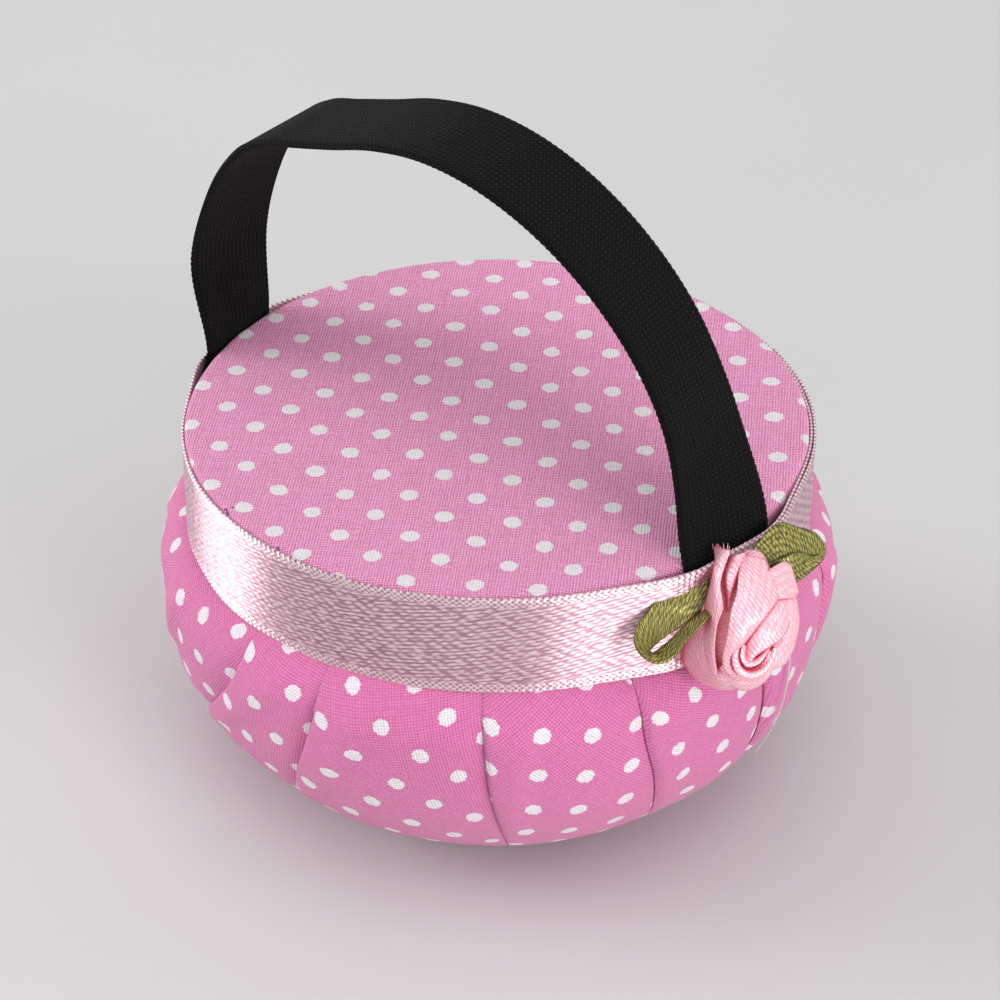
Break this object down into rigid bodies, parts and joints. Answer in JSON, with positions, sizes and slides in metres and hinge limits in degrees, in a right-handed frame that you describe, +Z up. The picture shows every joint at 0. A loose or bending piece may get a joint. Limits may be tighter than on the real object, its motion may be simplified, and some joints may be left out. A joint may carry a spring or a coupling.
{
  "type": "wrist pin cushion",
  "caption": "Stuffed, pleated cotton dome on a flat round covered base, with a satin ribbon band, a ribbon rose and an elastic wrist strap.",
  "frame": {"origin": "on the surface the dome rests on, under the middle of the round wrist face", "axes": "+Z up, out of the flat wrist face, against the dome; +X runs along the strap to the end that carries the rose; +Y runs across the strap, the way a hand goes through it"},
  "size_m": [0.0909, 0.0806, 0.0866],
  "materials": {
    "card": "matte",
    "dotted_cotton": "plain weave, white dots",
    "thread": "matte",
    "dark_thread": "matte",
    "glue": "translucent hot-melt glue",
    "fibre_fill": "loose polyester fibre",
    "pink_satin": "satin",
    "rose_satin": "satin",
    "green_satin": "satin",
    "black_elastic": "matte rib"
  },
  "bodies": {
    "root": {"base_disc": "card", "base_cover": "dotted_cotton", "base_gather_thread": "thread", "join_glue": "glue", "dome_cover": "dotted_cotton", "dome_gather_thread": "thread", "stuffing": "fibre_fill", "tacking_stitches": "dark_thread", "ribbon_band": "pink_satin", "strap_end_left": "black_elastic", "strap_end_right": "black_elastic", "rose": "rose_satin", "rose_thread": "thread", "rose_glue": "glue", "leaf_left": "green_satin", "leaf_right": "green_satin"},
    "strap": {"strap_leg_left": "black_elastic", "strap_leg_right": "black_elastic"},
    "crown": {"strap_crown": "black_elastic"}
  },
  "joints": [
    {"name": "strap_swing", "type": "hinge", "parent": "root", "child": "strap", "pos_m": [0, -0.00495, 0.054], "axis": [1, 0, 0], "range_deg": [-75, 75], "stiffness_Nm_per_rad": 0.005},
    {"name": "strap_stretch", "type": "slide", "parent": "strap", "child": "crown", "axis": [0, 0, 1], "range_m": [0, 0.025], "stiffness_N_per_m": 60, "deforming": ["strap_leg_left", "strap_leg_right"]}
  ]
}
